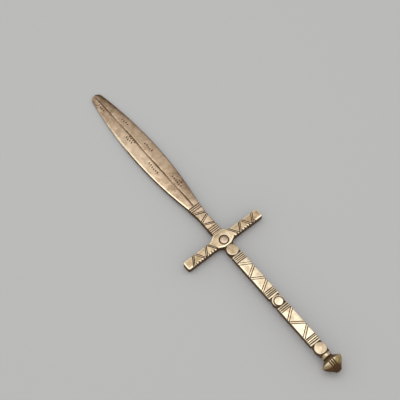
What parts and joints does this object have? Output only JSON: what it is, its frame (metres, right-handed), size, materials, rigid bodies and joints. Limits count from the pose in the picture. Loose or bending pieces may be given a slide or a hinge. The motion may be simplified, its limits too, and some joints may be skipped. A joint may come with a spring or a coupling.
{
  "type": "letter opener",
  "caption": "Sword-shaped solid brass letter opener: leaf blade on a through tang, riveted cross guard, engraved grip blocks between round-bossed beads, and a turned pommel.",
  "frame": {"origin": "centre of the guard's flat back, on the axis of the guard rivet", "axes": "+X along the blade to its tip, +Y across the guard, +Z out of the front face"},
  "size_m": [0.24, 0.058, 0.0134],
  "materials": {
    "blade_brass": "worn, brushed along the blade, with dark punched rows",
    "guard_brass": "worn, with dark patina in the cuts and nicks",
    "grip_brass": "polished by handling, with dark patina in the cuts",
    "bead_brass": "polished by handling, dark at the sides",
    "rivet_brass": "polished by handling",
    "pommel_brass": "turned, with dark patina in the cuts"
  },
  "bodies": {
    "root": {"blade": "blade_brass", "guard": "guard_brass", "guard_rivet": "rivet_brass", "upper_bead": "bead_brass", "upper_grip": "grip_brass", "middle_bead": "bead_brass", "bead_rivet": "rivet_brass", "lower_grip": "grip_brass", "lower_bead": "bead_brass", "pommel_collar": "pommel_brass", "pommel": "pommel_brass"}
  },
  "joints": []
}
